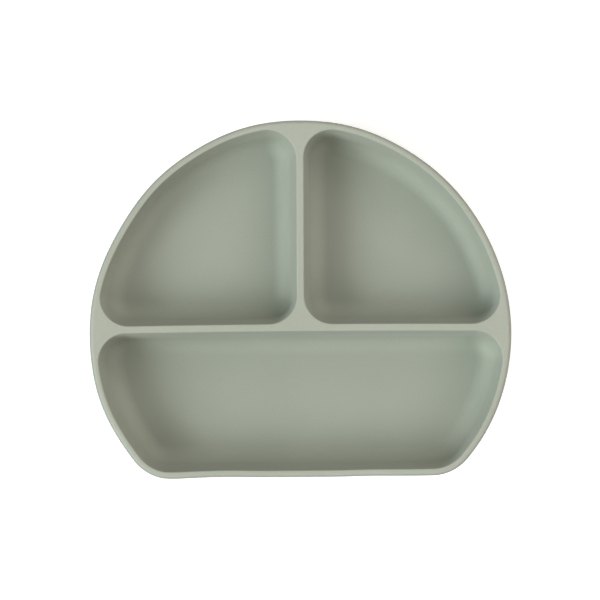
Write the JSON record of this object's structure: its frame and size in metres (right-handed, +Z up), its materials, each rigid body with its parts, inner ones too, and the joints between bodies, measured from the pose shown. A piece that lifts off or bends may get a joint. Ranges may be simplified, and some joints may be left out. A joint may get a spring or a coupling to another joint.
{
  "type": "divided suction plate",
  "caption": "Soft silicone baby plate with a flat front, two quarter-round wells and one long well, on a press-down suction foot with a release tab.",
  "frame": {"origin": "on the table, at the middle of the dish's bounding box", "axes": "+X to the right, +Y to the back, away from the flat front, +Z up"},
  "size_m": [0.216, 0.1822, 0.033],
  "materials": {
    "dish_silicone": "matte, sage green",
    "foot_silicone": "satin, sage green"
  },
  "bodies": {
    "foot": {"sealing_lip": "foot_silicone", "suction_skirt": "foot_silicone"},
    "dish": {"dish_shell": "dish_silicone", "mount_ring": "foot_silicone"},
    "tab": {"release_tab": "foot_silicone"}
  },
  "joints": [
    {"name": "suction_press", "type": "slide", "parent": "foot", "child": "dish", "axis": [0, 0, 1], "range_m": [-0.003, 0], "stiffness_N_per_m": 1500, "springref_m": 0.0018, "deforming": ["suction_skirt"]},
    {"name": "tab_lift", "type": "hinge", "parent": "foot", "child": "tab", "pos_m": [0, -0.08353, 0.0009], "axis": [-1, 0, 0], "range_deg": [0, 50], "stiffness_Nm_per_rad": 0.004}
  ]
}
